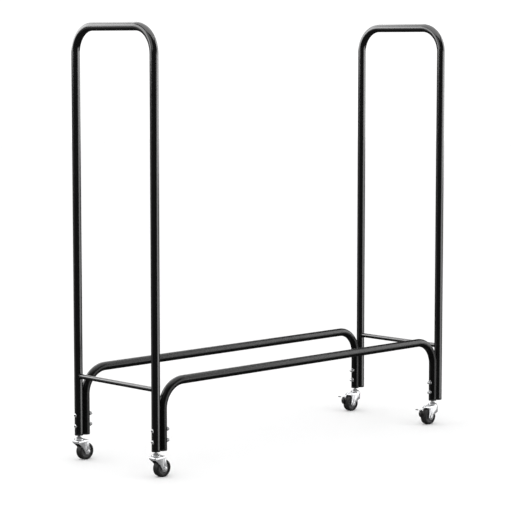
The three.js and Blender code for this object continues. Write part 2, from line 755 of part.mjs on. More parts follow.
// One caster, with its pieces named after its corner of the cart
function casterAt(corner, hasBrake) {
  const caster = new THREE.Group();
  const add = (part, solid, finish) => caster.add(pieceOf(`${corner}_${part}`, solid, finish));
  add("stem", stemSolid(), BRIGHT_ZINC);
  add("swivel_cup", swivelCupSolid(), BRIGHT_ZINC);
  add("yoke", yokeSolid(hasBrake), BRIGHT_ZINC);
  add("tyre", tyreSolid(), DARK_RUBBER);
  add("wheel_hub", hubSolid(), GREY_PLASTIC);
  add("axle", axleSolid(), BRIGHT_ZINC);
  if (hasBrake) {
    add("brake_lever", leverSolid(), BRIGHT_ZINC);
    add("brake_sleeve", sleeveSolid(), BLACK_PLASTIC);
    add("brake_shoe", shoeSolid(), BLACK_PLASTIC);
  }
  return caster;
}

// A fastener drawn along +Z, turned to point out of the cart or into it
function placeFastener(name, solid, end, pointsOut, seat, y, height) {
  const fastener = pieceOf(name, solid, BRIGHT_ZINC);
  fastener.position.set(end.side * seat, y, height);
  fastener.rotation.y = (end.side * (pointsOut ? Math.PI : -Math.PI)) / 2;
  cart.add(fastener);
}

// Bolts, cap nuts, plugs and a caster at every corner
const legBolt = buttonBolt(BOLT_HEAD_DIAMETER, BOLT_HEAD_HEIGHT, BOLT_DIAMETER, BOLT_LENGTH);
const legNut = capNut();
for (const end of ENDS) {
  for (const face of FACES) {
    const corner = `${end.name}_${face.name}`;
    const y = (face.side * HOOP_WIDTH) / 2;
    for (const { name, height } of BOLTS) {
      const prefix = `${corner}_${name}`;
      placeFastener(`${prefix}_bolt`, legBolt, end, true, BOLT_HEAD_SEAT, y, height);
      placeFastener(`${prefix}_cap_nut`, legNut, end, false, CAP_NUT_SEAT, y, height);
    }
    const legX = {
      hoop: (end.side * HOOP_SPACING) / 2,
      rail: (end.side * RAIL_SPAN) / 2,
    };
    for (const leg of ["hoop", "rail"]) {
      const plug = plugSolid(leg === end.casterUnder ? STEM_HOLE_RADIUS : 0);
      place(pieceOf(`${corner}_${leg}_plug`, plug, BLACK_PLASTIC), legX[leg], y);
    }
    const turn = end.side < 0 ? 0 : Math.PI;
    place(casterAt(corner, end.hasBrake), legX[end.casterUnder], y, turn);
  }
}

export default cart;
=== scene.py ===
"""The looks of a fireside log cart: two tube hoops joined by two bent rails, on four swivel casters."""
import math

import bpy
from mathutils import Matrix, Vector


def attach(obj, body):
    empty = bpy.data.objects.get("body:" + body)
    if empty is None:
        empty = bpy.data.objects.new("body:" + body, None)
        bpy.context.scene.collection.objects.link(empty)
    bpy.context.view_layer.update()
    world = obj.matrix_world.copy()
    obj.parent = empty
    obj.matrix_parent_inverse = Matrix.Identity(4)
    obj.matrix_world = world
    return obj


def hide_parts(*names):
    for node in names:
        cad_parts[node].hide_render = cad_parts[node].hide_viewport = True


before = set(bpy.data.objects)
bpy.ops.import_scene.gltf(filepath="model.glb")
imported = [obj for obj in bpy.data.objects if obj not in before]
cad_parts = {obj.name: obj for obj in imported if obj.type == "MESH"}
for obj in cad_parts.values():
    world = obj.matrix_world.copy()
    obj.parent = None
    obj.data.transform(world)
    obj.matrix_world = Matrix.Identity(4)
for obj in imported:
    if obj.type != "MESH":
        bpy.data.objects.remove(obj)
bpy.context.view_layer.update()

MM = 0.001

# ---------------------------------------------------------------- sizes, in millimetres

# Tubes
TUBE_RADIUS = 12.5
TUBE_WALL = 1.2
TUBE_SIDES = 64
BEND_RADIUS = 76
BEND_STEPS = 20
HOOP_X = 606
RAIL_LEG_X = 580.7
LEG_Y = 170
LEG_END = 79.3
HOOP_TOP = 1264.5
RAIL_TOP = 268
CROSSBAR_Z = 249.5
CROSSBAR_RADIUS = 7
COPE_DEPTH = 1.4
COPE_REACH = 15
CROSSBAR_HALF = LEG_Y - TUBE_RADIUS + COPE_DEPTH
BEAD_RADIUS = 1.5
BEAD_CENTRE = CROSSBAR_RADIUS + 0.7
BEAD_RIPPLE = 0.3
BEAD_SEGMENTS = 44

# Holes and threads: a thread's depth and its ridge are shares of its pitch
BORE_CLEARANCE = 0.2
THREAD_DEPTH = 0.55
THREAD_RIDGE = 0.42
THREAD_CHAMFER = 0.5
THREAD_END_GAP = 0.6
THREAD_CLEARANCE = 0.02

# Nuts: the flat face left by the chamfer is a share of the width across the flats
CHAMFER_ANGLE = math.radians(30)
CHAMFER_FACE = 0.94

# Leg bolts
BOLT_HEIGHTS = {"lower": 102, "upper": 134}
BOLT_SEAT_X = 618.8
NUT_SEAT_X = 567.9
BOLT_RADIUS = 3
BOLT_HEAD_RADIUS = 5.25
BOLT_HEAD_HEIGHT = 3.3
BOLT_RIM_HEIGHT = 0.8
BOLT_LENGTH = 50
SOCKET_ACROSS_FLATS = 4
SOCKET_DEPTH = 2
SOCKET_MOUTH_RADIUS = 3
SOCKET_MOUTH_DEPTH = 0.9
WASHER_RADIUS = 6
WASHER_THICKNESS = 1.2
CAP_NUT_ACROSS_FLATS = 10
CAP_NUT_HEX_HEIGHT = 5.5
CAP_NUT_HEIGHT = 12
CAP_NUT_DOME_RADIUS = 4.5
BOLT_SPIN = {"lower": 17, "upper": 41}
NUT_SPIN = {"lower": 8, "upper": 22}

# Plugs
PLUG_FOOT = 74
PLUG_FLANGE_TOP = 79
PLUG_TOP = 95
PLUG_BARREL_RADIUS = 11
PLUG_EDGE = 0.9
PLUG_RECESS = 0.5
PLUG_RECESS_WIDTH = 2.2

# Caster, in its own frame: its stem stands on the Z axis and its wheel trails towards +X
STEM_RADIUS = 4
STEM_TOP = 92
STEM_HEAD_RADIUS = 6.5
STEM_HEAD_Z = (55.3, 57.3)
STEM_NUT_Z = (66.1, 69.1)
STEM_NUT_ACROSS_FLATS = 13
STEM_PITCH = 1.25
STEM_TURNS = 19
CUP_Z = (61.5, 65.8)
CUP_RADIUS = 14
CUP_TOP_RADIUS = 6.75
CUP_SHEET = 1.2
BALL_COUNT = 16
BALL_RADIUS = 0.95
BALL_RING_RADIUS = 10.6
BALL_Z = 62.2
RACE_Z = (59.4, 61.2)
RACE_RADIUS = 13.5
SHEET = 1.8
YOKE_TOP = 59.4
YOKE_HALF_WIDTH = 14
YOKE_FRONT = -15.5
YOKE_REAR = 26
YOKE_NECK = 25
YOKE_BLANK_END = 45
YOKE_BLANK_FOOT = 8
LEG_TOP = 55.8
APRON_END = {"plain": 51.4, "braked": 38.4}
CORNER_RADIUS = {"plain": 4.5, "braked": 10}
TOP_EDGE_RADIUS = 3
LEG_SWEEP = 3.4
LEG_END_RADIUS = 9.6
LEG_BEAD_WIDTH = 7
LEG_BEAD_HEIGHT = 1
LEG_BEAD_ROOT = 0.8
LEG_BEAD_Z = (31, 54.5)
AXLE_X = 21.5
AXLE_Z = 25
WHEEL_RADIUS = 25
WHEEL_HALF_WIDTH = 11
TYRE_BORE = 18.5
TYRE_SHOULDER = 3
HUB_RADIUS = 17.97
HUB_RIM_INNER = 15.57
HUB_HALF_WIDTH = 8.5
WEB_HALF_WIDTH = 4.5
BOSS_RADIUS = 7
BOSS_HALF_WIDTH = 11.8
HUB_BORE = 3.4
AXLE_RADIUS = 3
AXLE_HEAD_RADIUS = 5
AXLE_HEAD_HEIGHT = 3
AXLE_SEAT = 14.3
AXLE_NUT_ACROSS_FLATS = 9.5
AXLE_NUT_HEIGHT = 4
AXLE_SOCKET_DEPTH = 1.8
AXLE_END = 19.5
AXLE_PITCH = 1
AXLE_TURNS = 5

# Brake
PIVOT_X = 28.5
PIVOT_Z = 53.8
EAR_RADIUS = 4.2
BARREL_RADIUS = 2.8
BARREL_HALF_WIDTH = 11.8
PIN_RADIUS = 1.5
PIN_HEAD_RADIUS = 2.5
PIN_HEAD_Y = (14.3, 15.3)
LEVER_Y = -6.5
LEVER_WIDTH = 6
LEVER_SHEET = 1.5
KNEE = (50.58, 47.72)
TIP = (70.08, 51.52)
KNEE_BEND = 2.5
KNEE_FULLNESS = 0.62
SLEEVE_X = (65.28, 71.28)
SLEEVE_HEIGHT = 3.9
SLEEVE_WIDTH = 8.4
SLEEVE_EDGE = 1.1
SHOE_FOOT_RADIUS = 26.2
SHOE_TOP_RADIUS = 34.5
SHOE_FLARE_ANGLE = 25
SHOE_TOP_ANGLE = 35
SHOE_FACE_ANGLE = 20
SHOE_THICKNESS = 2.4
SHOE_WIDTH = 6.6
SHOE_TOP_GAP = 0.3

# Edges that turn by more than this stay sharp
SMOOTH_ANGLE = math.radians(30)

# The first lays what was made about Z along Y, and the second lays it on the brake's pin
LAID = Matrix.Rotation(math.pi / 2, 4, "X")
ON_PIN = LAID @ Matrix.Translation((PIVOT_X * MM, PIVOT_Z * MM, 0))

# Each caster's place, and the heading that its wheel trails to
CORNERS = {
    "left_front": (-HOOP_X, -LEG_Y, 0),
    "left_rear": (-HOOP_X, LEG_Y, 0),
    "right_front": (RAIL_LEG_X, -LEG_Y, math.pi),
    "right_rear": (RAIL_LEG_X, LEG_Y, math.pi),
}


# ---------------------------------------------------------------- materials

# Name of the face attribute that marks where painted shade darkens the zinc
PAINTED_SHADE = "paint_shade"


class Link:
    """An output socket. Arithmetic on it adds the Math node that works the sum out."""

    def __init__(self, nodes, socket):
        self.nodes = nodes
        self.socket = socket

    def math(self, operation, *values):
        return self.nodes.node("ShaderNodeMath", {"operation": operation}, dict(enumerate(values)))

    def __add__(self, other):
        return self.math("ADD", self, other)

    def __radd__(self, other):
        return self.math("ADD", other, self)

    def __sub__(self, other):
        return self.math("SUBTRACT", self, other)

    def __rsub__(self, other):
        return self.math("SUBTRACT", other, self)

    def __mul__(self, other):
        return self.math("MULTIPLY", self, other)

    def __rmul__(self, other):
        return self.math("MULTIPLY", other, self)


class Nodes:
    """The node tree of a material or of the world, emptied."""

    def __init__(self, tree):
        self.tree = tree
        tree.nodes.clear()

    def node(self, kind, settings=None, sockets=None, output=0):
        """Adds a node: first its settings, then the values or links of its sockets."""
        made = self.tree.nodes.new(kind)
        for setting, value in (settings or {}).items():
            setattr(made, setting, value)
        for socket, value in (sockets or {}).items():
            if isinstance(value, Link):
                self.tree.links.new(value.socket, made.inputs[socket])
            else:
                made.inputs[socket].default_value = value
        return Link(self, made.outputs[output]) if made.outputs else None


class Finish(Nodes):
    """A material in the making: a Principled shader and the nodes that drive it."""

    def __init__(self, name, **constants):
        self.material = bpy.data.materials.new(name)
        self.material.use_nodes = True
        super().__init__(self.material.node_tree)
        sockets = {socket.replace("_", " "): value for socket, value in constants.items()}
        surface = self.node("ShaderNodeBsdfPrincipled", {}, sockets)
        self.shader = surface.socket.node
        self.node("ShaderNodeOutputMaterial", {}, {"Surface": surface})

    def noise(self, size, detail=2, roughness=0.5):
        """Soft noise whose patches measure about size, in millimetres."""
        place = self.node("ShaderNodeTexCoord", output="Object")
        sockets = {"Vector": place, "Scale": 1 / (size * MM), "Detail": detail, "Roughness": roughness}
        return self.node("ShaderNodeTexNoise", {}, sockets)

    def spread(self, noise, low, high):
        """Carries the middle part of a noise over to low..high."""
        sockets = {"Value": noise, "From Min": 0.3, "From Max": 0.7, "To Min": low, "To Max": high}
        return self.node("ShaderNodeMapRange", {}, sockets)

    def mix(self, factor, first, second):
        """Blends two colours, each a link or three numbers."""
        pair = [color if isinstance(color, Link) else (*color, 1) for color in (first, second)]
        sockets = {0: factor, 6: pair[0], 7: pair[1]}
        return self.node("ShaderNodeMix", {"data_type": "RGBA"}, sockets, output=2)

    def drive(self, socket, value):
        """Lets a link set one of the shader's sockets."""
        self.tree.links.new(value.socket, self.shader.inputs[socket])

    def bump(self, height, depth):
        """Raises the surface by a height of 0 to 1 times a depth in millimetres."""
        self.drive("Normal", self.node("ShaderNodeBump", {}, {"Height": height, "Distance": depth * MM}))


def black_paint(name, specular, low, high):
    """Baked black paint with a faint orange peel, as glossy as its specular level and roughness say."""
    finish = Finish(name, IOR=1.5, Specular_IOR_Level=specular)
    shade = finish.mix(finish.noise(60, detail=3), (0.0012, 0.0012, 0.0013), (0.0022, 0.0022, 0.0023))
    finish.drive("Base Color", shade)
    finish.drive("Roughness", finish.spread(finish.noise(14, detail=3), low, high))
    finish.bump(finish.noise(5, detail=2), 0.002)
    return finish.material


def black_plastic():
    """Moulded black plastic with a fine spark-eroded grain."""
    finish = Finish("moulded_black_plastic", IOR=1.46)
    finish.drive("Base Color", finish.mix(finish.noise(12), (0.006, 0.006, 0.0062), (0.012, 0.012, 0.012)))
    finish.drive("Roughness", finish.spread(finish.noise(3, detail=4), 0.36, 0.5))
    finish.bump(finish.noise(0.45, detail=3), 0.03)
    return finish.material


def dark_rubber():
    """Tyre rubber, dull and a little dusty."""
    finish = Finish("dark_tyre_rubber", IOR=1.5, Specular_IOR_Level=0.4)
    dust = finish.noise(7, detail=5, roughness=0.6)
    finish.drive("Base Color", finish.mix(dust, (0.007, 0.007, 0.007), (0.013, 0.013, 0.0125)))
    finish.drive("Roughness", finish.spread(dust, 0.5, 0.68))
    finish.bump(finish.noise(0.35, detail=3), 0.04)
    return finish.material


def grey_plastic():
    """The wheel hubs' grey plastic."""
    finish = Finish("moulded_grey_plastic", IOR=1.46)
    finish.drive("Base Color", finish.mix(finish.noise(10), (0.06, 0.06, 0.062), (0.085, 0.085, 0.087)))
    finish.drive("Roughness", finish.spread(finish.noise(3, detail=4), 0.38, 0.5))
    finish.bump(finish.noise(0.5, detail=3), 0.02)
    return finish.material


def bright_zinc():
    """Zinc plate on pressed and turned steel: bright and cloudy, with painted shade that makes the marked
    faces dull and dark.
    """
    finish = Finish("bright_zinc_plate")
    painted_shade = finish.node("ShaderNodeAttribute", {"attribute_name": PAINTED_SHADE}, output="Fac")
    plate = finish.mix(finish.noise(4, detail=4, roughness=0.6), (0.64, 0.65, 0.67), (0.74, 0.74, 0.74))
    # Painted shade: marked faces are painted nearly black, rougher and less metallic
    finish.drive("Base Color", finish.mix(painted_shade, plate, (0.012, 0.012, 0.012)))
    finish.drive("Roughness", finish.spread(finish.noise(2.5, detail=4), 0.2, 0.28) + painted_shade * 0.35)
    finish.drive("Metallic", 0.72 - painted_shade * 0.4)
    finish.bump(finish.noise(0.6, detail=3), 0.003)
    return finish.material


FINISHES = {
    "black_paint": black_paint("gloss_black_paint", 1.0, 0.16, 0.2),
    "rail_paint": black_paint("satin_black_paint", 0.4, 0.25, 0.32),
    "black_plastic": black_plastic(),
    "dark_rubber": dark_rubber(),
    "grey_plastic": grey_plastic(),
    "bright_zinc": bright_zinc(),
}


# ---------------------------------------------------------------- modelling helpers

def activate(piece):
    """Selects one piece alone."""
    bpy.ops.object.select_all(action="DESELECT")
    piece.select_set(True)
    bpy.context.view_layer.objects.active = piece


def settle(piece):
    """Puts the object's place and turn into its mesh."""
    activate(piece)
    bpy.ops.object.transform_apply(location=True, rotation=True, scale=True)
    return piece


def edit(piece):
    """Opens a piece in edit mode with all of it selected."""
    activate(piece)
    bpy.ops.object.mode_set(mode="EDIT")
    bpy.ops.mesh.select_mode(type="VERT")
    bpy.ops.mesh.select_all(action="SELECT")


def leave_edit():
    """Merges points that coincide, turns the faces outwards and goes back to object mode."""
    bpy.ops.mesh.select_all(action="SELECT")
    bpy.ops.mesh.remove_doubles(threshold=0.0005 * MM)
    bpy.ops.mesh.normals_make_consistent(inside=False)
    bpy.ops.object.mode_set(mode="OBJECT")
    return bpy.context.object


def choose(piece, kind, test):
    """Selects, in edit mode, only the vertices or edges whose ends, in millimetres, pass a test."""
    bpy.ops.mesh.select_all(action="DESELECT")
    bpy.ops.mesh.select_mode(type=kind)
    bpy.ops.object.mode_set(mode="OBJECT")
    vertices = piece.data.vertices
    if kind == "VERT":
        for vertex in vertices:
            vertex.select = test(vertex.co / MM)
    else:
        for edge in piece.data.edges:
            edge.select = test(*(vertices[end].co / MM for end in edge.vertices))
    bpy.ops.object.mode_set(mode="EDIT")


def apply(piece, kind, **settings):
    """Adds a modifier and applies it at once."""
    modifier = piece.modifiers.new(kind.lower(), kind)
    for setting, value in settings.items():
        setattr(modifier, setting, value)
    activate(piece)
    bpy.ops.object.modifier_apply(modifier=modifier.name)
    return piece


def combine(piece, tool, operation):
    """Cuts a piece by a tool, joins them or keeps what they share."""
    apply(piece, "BOOLEAN", operation=operation, solver="EXACT", object=tool)
    bpy.data.objects.remove(tool, do_unlink=True)
    return piece


def soften(piece, width, angle=35):
    """Rounds every edge sharper than an angle by a width in millimetres."""
    limit = math.radians(angle)
    return apply(piece, "BEVEL", width=width * MM, segments=2, limit_method="ANGLE", angle_limit=limit)


def paint_shade(piece, test, amount=1.0):
    """Marks the faces whose middle, in millimetres, passes a test for painted shade: the zinc is painted dark
    and dull there.
    """
    mesh = piece.data
    marks = mesh.attributes.new(PAINTED_SHADE, "FLOAT", "FACE")
    for face, mark in zip(mesh.polygons, marks.data):
        mark.value = amount if test(face.center / MM, face.normal) else 0
    return piece


def join(piece, *others):
    """Makes one piece of several."""
    activate(piece)
    for other in others:
        other.select_set(True)
    bpy.ops.object.join()
    return piece


def turn(piece, matrix):
    """Moves or turns a piece by a matrix and settles it there."""
    piece.matrix_world = matrix @ piece.matrix_world
    return settle(piece)


def arc(radius, height, bend, start, end, steps=6):
    """Points of a profile on an arc about (radius, height), from one angle to another in degrees."""
    angles = [math.radians(start + (end - start) * step / steps) for step in range(steps + 1)]
    return [(radius + bend * math.cos(angle), height + bend * math.sin(angle)) for angle in angles]


def turned(profile, sides=48, ring=False):
    """A piece turned about Z, through the (radius, height) points of its profile."""
    bpy.ops.object.select_all(action="DESELECT")
    radius, height = profile[0]
    fill = "NOTHING" if ring else "NGON"
    bpy.ops.mesh.primitive_circle_add(vertices=sides, radius=radius * MM, fill_type=fill)
    piece = bpy.context.object
    piece.location.z = height * MM
    settle(piece)
    edit(piece)
    for next_radius, next_height in profile[1:]:
        climb = (0, 0, (next_height - height) * MM)
        bpy.ops.mesh.extrude_region_move(TRANSFORM_OT_translate={"value": climb})
        if next_radius:
            ratio = next_radius / radius
            bpy.ops.transform.resize(value=(ratio, ratio, 1), center_override=(0, 0, next_height * MM))
        else:
            bpy.ops.mesh.merge(type="CENTER")
        radius = next_radius
        height = next_height
    if ring:
        bpy.ops.mesh.select_all(action="DESELECT")
        bpy.ops.mesh.select_non_manifold()
        bpy.ops.mesh.bridge_edge_loops()
    return leave_edit()


def block(low, high):
    """A block between two corners, ready to be shaped."""
    bpy.ops.object.select_all(action="DESELECT")
    bpy.ops.mesh.primitive_cube_add(size=1)
    piece = bpy.context.object
    piece.location = [(a + b) / 2 * MM for a, b in zip(low, high)]
    piece.scale = [(b - a) * MM for a, b in zip(low, high)]
    return settle(piece)


def extruded(outline, near, far):
    """An outline of (x, z) points, drawn point by point, filled and drawn out from one y to another."""
    bpy.ops.object.select_all(action="DESELECT")
    bpy.ops.mesh.primitive_plane_add(size=1)
    piece = bpy.context.object
    edit(piece)
    bpy.ops.mesh.merge(type="CENTER")
    places = [Vector((x, near, z)) * MM for x, z in outline]
    bpy.ops.transform.translate(value=places[0])
    for before, place in zip(places, places[1:]):
        bpy.ops.mesh.extrude_vertices_move(TRANSFORM_OT_translate={"value": place - before})
    bpy.ops.mesh.select_all(action="SELECT")
    bpy.ops.mesh.edge_face_add()
    bpy.ops.mesh.extrude_region_move(TRANSFORM_OT_translate={"value": (0, (far - near) * MM, 0)})
    return leave_edit()


def hexagon(across_flats, bottom, top, chamfered_below):
    """A hexagon about Z whose corners are turned away at its top and, if asked, at its bottom."""
    corner = across_flats / math.sqrt(3)
    flat = across_flats / 2
    drop = (corner - flat) * math.tan(CHAMFER_ANGLE) + 0.12
    outside = corner + 0.2
    face = flat * CHAMFER_FACE
    profile = [(face, bottom), (outside, bottom + drop)] if chamfered_below else [(outside, bottom)]
    profile += [(outside, top - drop), (face, top)]
    return combine(turned([(corner, bottom), (corner, top)], sides=6), turned(profile, sides=72), "INTERSECT")


def threaded(radius, bottom, top, pitch, turns):
    """A chamfered rod about Z with a ridge wound round its upper end."""
    core = radius - THREAD_DEPTH * pitch
    chamfer = [(core, top - THREAD_CHAMFER), (core - THREAD_CHAMFER, top)]
    rod = turned([(core, bottom), *chamfer], sides=32)
    bpy.ops.object.select_all(action="DESELECT")
    bpy.ops.mesh.primitive_circle_add(vertices=3, radius=THREAD_RIDGE * pitch * MM, fill_type="NGON")
    ridge = bpy.context.object
    ridge.matrix_world = LAID @ Matrix.Rotation(-math.pi / 2, 4, "Z")
    settle(ridge)
    crest = max(vertex.co.x for vertex in ridge.data.vertices)
    start = top - THREAD_END_GAP - pitch * turns
    turn(ridge, Matrix.Translation((radius * MM - crest, 0, start * MM)))
    apply(ridge, "SCREW", angle=2 * math.pi, screw_offset=pitch * MM, iterations=turns, steps=28,
          render_steps=28, use_merge_vertices=True, merge_threshold=0.0001 * MM)
    edit(ridge)
    bpy.ops.mesh.remove_doubles(threshold=0.0005 * MM)
    bpy.ops.mesh.fill_holes(sides=3)
    leave_edit()
    return join(rod, ridge)


def copied(pattern, matrix, name, slot, body, nodes=(), finish=None):
    """Copies a piece, mesh and all, to its place, gives it its finish and hangs it on its body."""
    piece = pattern.copy()
    piece.data = pattern.data.copy()
    bpy.context.collection.objects.link(piece)
    piece.matrix_world = matrix
    settle(piece)
    piece.name = name
    piece.data.name = name
    piece.data.materials.clear()
    piece.data.materials.append(FINISHES[finish or slot])
    bpy.ops.object.shade_smooth_by_angle(angle=SMOOTH_ANGLE)
    if nodes:
        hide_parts(*nodes)
    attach(piece, body)


def discard(patterns):
    """Deletes the pieces that the copies were made from."""
    for pattern in patterns:
        bpy.data.objects.remove(pattern, do_unlink=True)


# ---------------------------------------------------------------- frame

def bent_tube(half_span, top):
    """An arch of tube in the XZ plane: up one leg, round a bend, across, round a bend and down."""
    bend_z = top - BEND_RADIUS
    bend_x = half_span - BEND_RADIUS
    bpy.ops.object.select_all(action="DESELECT")
    bpy.ops.mesh.primitive_circle_add(vertices=TUBE_SIDES, radius=TUBE_RADIUS * MM, fill_type="NOTHING")
    piece = bpy.context.object
    piece.location = (-half_span * MM, 0, LEG_END * MM)
    settle(piece)
    edit(piece)
    rise = (0, 0, (bend_z - LEG_END) * MM)
    quarter = {"steps": BEND_STEPS, "angle": -math.pi / 2, "axis": (0, 1, 0)}
    bpy.ops.mesh.extrude_region_move(TRANSFORM_OT_translate={"value": rise})
    bpy.ops.mesh.spin(center=(-bend_x * MM, 0, bend_z * MM), **quarter)
    bpy.ops.mesh.extrude_region_move(TRANSFORM_OT_translate={"value": (2 * bend_x * MM, 0, 0)})
    bpy.ops.mesh.spin(center=(bend_x * MM, 0, bend_z * MM), **quarter)
    bpy.ops.mesh.extrude_region_move(TRANSFORM_OT_translate={"value": (0, 0, -rise[2])})
    leave_edit()
    return apply(piece, "SOLIDIFY", thickness=TUBE_WALL * MM, offset=-1, use_even_offset=True)


def weld_bead():
    """A rippled bead round the end of a bar, in the XZ plane, curved to sit on a tube."""
    bpy.ops.object.select_all(action="DESELECT")
    bpy.ops.mesh.primitive_torus_add(major_segments=BEAD_SEGMENTS, minor_segments=10,
                                     major_radius=BEAD_CENTRE * MM, minor_radius=BEAD_RADIUS * MM,
                                     rotation=(math.pi / 2, 0, 0))
    piece = settle(bpy.context.object)
    edit(piece)
    step = 2 * math.pi / BEAD_SEGMENTS

    def in_valley(spot):
        return round(math.atan2(spot.z, spot.x) / step) % 2 == 0

    choose(piece, "VERT", in_valley)
    bpy.ops.transform.shrink_fatten(value=-BEAD_RIPPLE * MM)
    leave_edit()
    apply(piece, "SUBSURF", levels=1, render_levels=1)
    bend = 2 * (BEAD_CENTRE + BEAD_RADIUS) / TUBE_RADIUS
    return apply(piece, "SIMPLE_DEFORM", deform_method="BEND", deform_axis="Z", angle=bend)


def crossbar():
    """A round bar along Y, coped at both ends to fit the legs."""
    piece = turned([(CROSSBAR_RADIUS, -CROSSBAR_HALF), (CROSSBAR_RADIUS, CROSSBAR_HALF)], sides=48)
    turn(piece, LAID)
    for side in (-1, 1):
        cope = turned([(TUBE_RADIUS, -COPE_REACH), (TUBE_RADIUS, COPE_REACH)], sides=TUBE_SIDES)
        turn(cope, Matrix.Translation((0, side * LEG_Y * MM, 0)))
        combine(piece, cope, "DIFFERENCE")
    return piece


def make_frame():
    """The hoops with their crossbars and weld beads, and the rails."""
    upright = Matrix.Rotation(math.pi / 2, 4, "Z")
    hoop = bent_tube(LEG_Y, HOOP_TOP)
    rail = bent_tube(RAIL_LEG_X, RAIL_TOP)
    bar = crossbar()
    bead = weld_bead()
    for side, x in (("left", -HOOP_X), ("right", HOOP_X)):
        stand = Matrix.Translation((x * MM, 0, 0)) @ upright
        copied(hoop, stand, f"{side}_bent_hoop", "black_paint", "frame", [f"{side}_hoop"])
        level = Matrix.Translation((x * MM, 0, CROSSBAR_Z * MM))
        copied(bar, level, f"{side}_welded_bar", "black_paint", "frame", [f"{side}_crossbar"])
        for end, sign in (("front", -1), ("rear", 1)):
            seat = Matrix.Translation((0, sign * (LEG_Y - TUBE_RADIUS) * MM, 0))
            facing = Matrix.Rotation(0 if sign > 0 else math.pi, 4, "Z")
            copied(bead, level @ seat @ facing, f"{side}_{end}_weld_bead", "black_paint", "frame")
    for side, y in (("front", -LEG_Y), ("rear", LEG_Y)):
        stand = Matrix.Translation((0, y * MM, 0))
        copied(rail, stand, f"{side}_bent_rail", "black_paint", "frame", [f"{side}_rail"], "rail_paint")
    discard([hoop, rail, bar, bead])


def button_bolt():
    """A button-head bolt about Z: its head's seat is at zero and its shank points down."""
    profile = [(BOLT_RADIUS, -BOLT_LENGTH), (BOLT_RADIUS, 0), (BOLT_HEAD_RADIUS - 0.2, 0),
               (BOLT_HEAD_RADIUS, 0.2), (BOLT_HEAD_RADIUS, BOLT_RIM_HEIGHT)]
    (wide, low), *dome = arc(0, 0, 1, 20, 78, 7)
    rise = dome[-1][1] - low
    for x, z in dome:
        height = BOLT_RIM_HEIGHT + (BOLT_HEAD_HEIGHT - BOLT_RIM_HEIGHT) * (z - low) / rise
        profile.append((BOLT_HEAD_RADIUS * x / wide, height))
    piece = turned(profile, sides=56)
    corner = SOCKET_ACROSS_FLATS / math.sqrt(3)
    socket = turned([(corner, BOLT_HEAD_HEIGHT - SOCKET_DEPTH), (corner, BOLT_HEAD_HEIGHT + 1)], sides=6)
    combine(piece, socket, "DIFFERENCE")
    mouth = [(SOCKET_MOUTH_RADIUS - SOCKET_MOUTH_DEPTH, BOLT_HEAD_HEIGHT - SOCKET_MOUTH_DEPTH),
             (SOCKET_MOUTH_RADIUS + 0.4, BOLT_HEAD_HEIGHT + 0.4)]
    combine(piece, turned(mouth), "DIFFERENCE")

    def in_socket(middle, normal):
        near_axis = math.hypot(middle.x, middle.y) < SOCKET_MOUTH_RADIUS
        return near_axis and 0.5 < middle.z < BOLT_HEAD_HEIGHT - 0.1

    # The socket's faces are painted dark: painted shade in the recess
    return paint_shade(piece, in_socket)


def washer(bore, radius, thickness):
    """A flat washer about Z, standing on zero, with its edges broken."""
    edge = 0.15
    profile = [(bore, edge), (bore, thickness - edge), (bore + edge, thickness), (radius - edge, thickness),
               (radius, thickness - edge), (radius, edge), (radius - edge, 0), (bore + edge, 0)]
    return turned(profile, sides=56, ring=True)


def cap_nut():
    """A domed cap nut about Z, standing on zero."""
    nut = hexagon(CAP_NUT_ACROSS_FLATS, 0, CAP_NUT_HEX_HEIGHT, True)
    top = CAP_NUT_HEIGHT - WASHER_THICKNESS
    dome = arc(0, top - CAP_NUT_DOME_RADIUS, CAP_NUT_DOME_RADIUS, 0, 84, 10)
    profile = [(CAP_NUT_DOME_RADIUS, CAP_NUT_HEX_HEIGHT - 0.5), *dome, (0, top)]
    combine(nut, turned(profile, sides=56), "UNION")
    # The hex of the cap nut is painted darker: painted shade and a painted dark reflection
    return paint_shade(nut, lambda middle, normal: middle.z < CAP_NUT_HEX_HEIGHT - 0.05, amount=0.75)


def leg_plug():
    """The plug of a leg end, about Z, with the hole of the caster's stem."""
    hole = STEM_RADIUS + BORE_CLEARANCE
    outer = arc(TUBE_RADIUS - PLUG_EDGE, PLUG_FOOT + PLUG_EDGE, PLUG_EDGE, -90, 0, 5)
    recess = PLUG_FOOT + PLUG_RECESS
    lip = hole + PLUG_RECESS_WIDTH
    profile = [(hole, PLUG_FOOT + PLUG_EDGE), (hole + 0.4, recess), (lip, recess),
               (lip + 0.4, PLUG_FOOT), *outer, (TUBE_RADIUS, PLUG_FLANGE_TOP - 0.3),
               (TUBE_RADIUS - 0.3, PLUG_FLANGE_TOP), (PLUG_BARREL_RADIUS, PLUG_FLANGE_TOP),
               (PLUG_BARREL_RADIUS, PLUG_TOP - 0.8), (PLUG_BARREL_RADIUS - 0.8, PLUG_TOP), (hole, PLUG_TOP)]
    return turned(profile, sides=64, ring=True)


